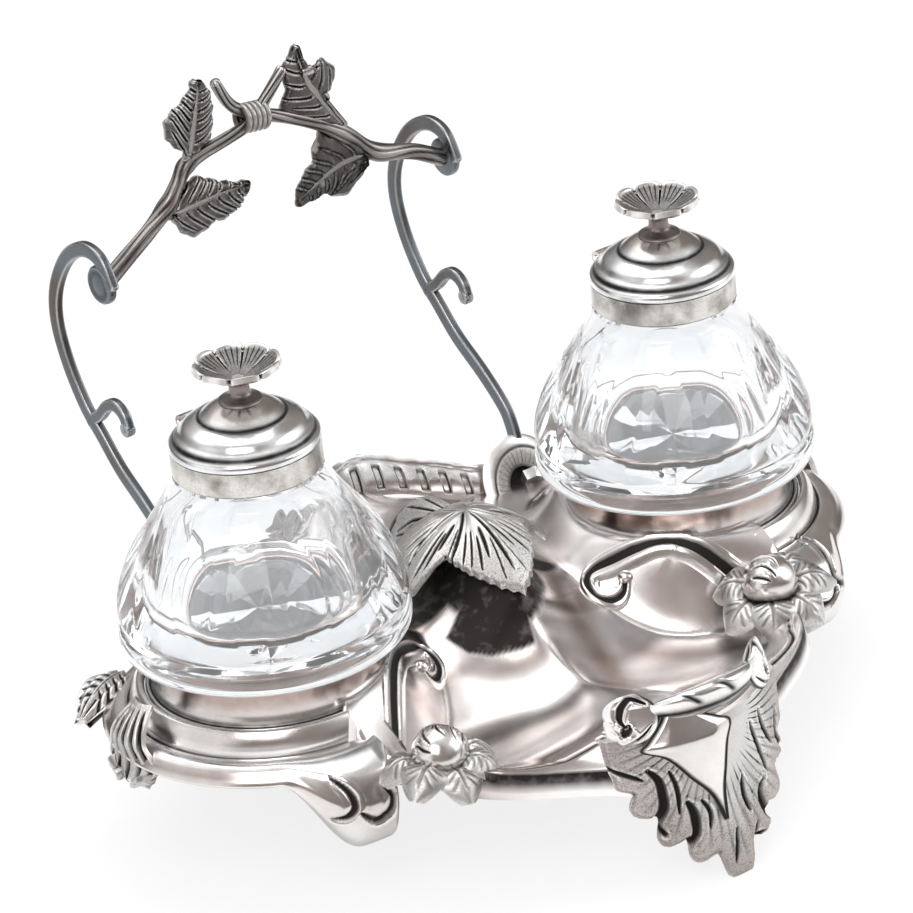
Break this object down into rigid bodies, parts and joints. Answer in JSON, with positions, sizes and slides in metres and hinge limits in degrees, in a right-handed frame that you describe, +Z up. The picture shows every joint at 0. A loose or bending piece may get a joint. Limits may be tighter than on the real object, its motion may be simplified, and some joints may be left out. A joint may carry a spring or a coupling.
{
  "type": "desk inkstand with glass ink bottles",
  "caption": "Silver desk inkstand with a raised tray on scroll and leaf feet, cut glass bottles with hinged lids, and a branch handle with pen hooks.",
  "frame": {"origin": "on the floor plane, at the middle of the overall width and depth", "axes": "+X to the right along the line of the bottles, +Y to the back where the handle stands, +Z up"},
  "size_m": [0.1858, 0.1702, 0.1399],
  "materials": {
    "polished_silver": "polished, warm, with dark tarnish in the grooves",
    "chased_silver": "chased and stippled, tarnished in the recesses",
    "dull_silver": "dull and worn, with traces of old cement",
    "oxidised_silver": "blue-grey oxidised, brighter on the edges",
    "cut_glass": "clear, cut and polished"
  },
  "bodies": {
    "stand": {"tray_shell": "polished_silver", "back_gallery": "polished_silver", "left_well_ring": "polished_silver", "right_well_ring": "polished_silver", "left_apron": "polished_silver", "right_apron": "polished_silver", "centre_leaf": "chased_silver", "front_foot": "chased_silver", "front_shield": "polished_silver", "front_scroll_band": "polished_silver", "left_comma_scroll": "polished_silver", "right_comma_scroll": "polished_silver", "left_front_volute": "polished_silver", "right_front_volute": "polished_silver", "left_back_leg": "chased_silver", "right_back_leg": "chased_silver", "left_flower_petals": "chased_silver", "right_flower_petals": "chased_silver", "left_flower_bud": "polished_silver", "right_flower_bud": "polished_silver", "left_c_scroll": "polished_silver", "right_c_scroll": "polished_silver", "left_end_leaf": "chased_silver", "right_end_leaf": "chased_silver", "left_side_leaf": "chased_silver", "right_side_leaf": "chased_silver", "left_rocaille": "chased_silver", "right_rocaille": "chased_silver", "left_upright": "oxidised_silver", "right_upright": "oxidised_silver", "handle_branch": "oxidised_silver", "handle_tie": "polished_silver", "handle_twigs": "oxidised_silver", "left_upper_leaf": "oxidised_silver", "left_lower_leaf": "oxidised_silver", "right_upper_leaf": "oxidised_silver", "right_lower_leaf": "oxidised_silver"},
    "left_bottle": {"left_glass": "cut_glass", "left_neck_collar": "dull_silver", "left_hinge_pin": "polished_silver"},
    "right_bottle": {"right_glass": "cut_glass", "right_neck_collar": "dull_silver", "right_hinge_pin": "polished_silver"},
    "left_lid": {"left_lid": "polished_silver", "left_finial_stem": "polished_silver", "left_finial_cup": "chased_silver"},
    "right_lid": {"right_lid": "polished_silver", "right_finial_stem": "polished_silver", "right_finial_cup": "chased_silver"}
  },
  "joints": [
    {"name": "left_bottle_lift", "type": "slide", "parent": "stand", "child": "left_bottle", "axis": [0, 0, 1], "range_m": [0, 0.06]},
    {"name": "right_bottle_lift", "type": "slide", "parent": "stand", "child": "right_bottle", "axis": [0, 0, 1], "range_m": [0, 0.06]},
    {"name": "left_lid_hinge", "type": "hinge", "parent": "left_bottle", "child": "left_lid", "pos_m": [-0.0545, 0.0173, 0.0896], "axis": [-1, 0, 0], "range_deg": [0, 95]},
    {"name": "right_lid_hinge", "type": "hinge", "parent": "right_bottle", "child": "right_lid", "pos_m": [0.0545, 0.0173, 0.0896], "axis": [-1, 0, 0], "range_deg": [0, 95]}
  ]
}
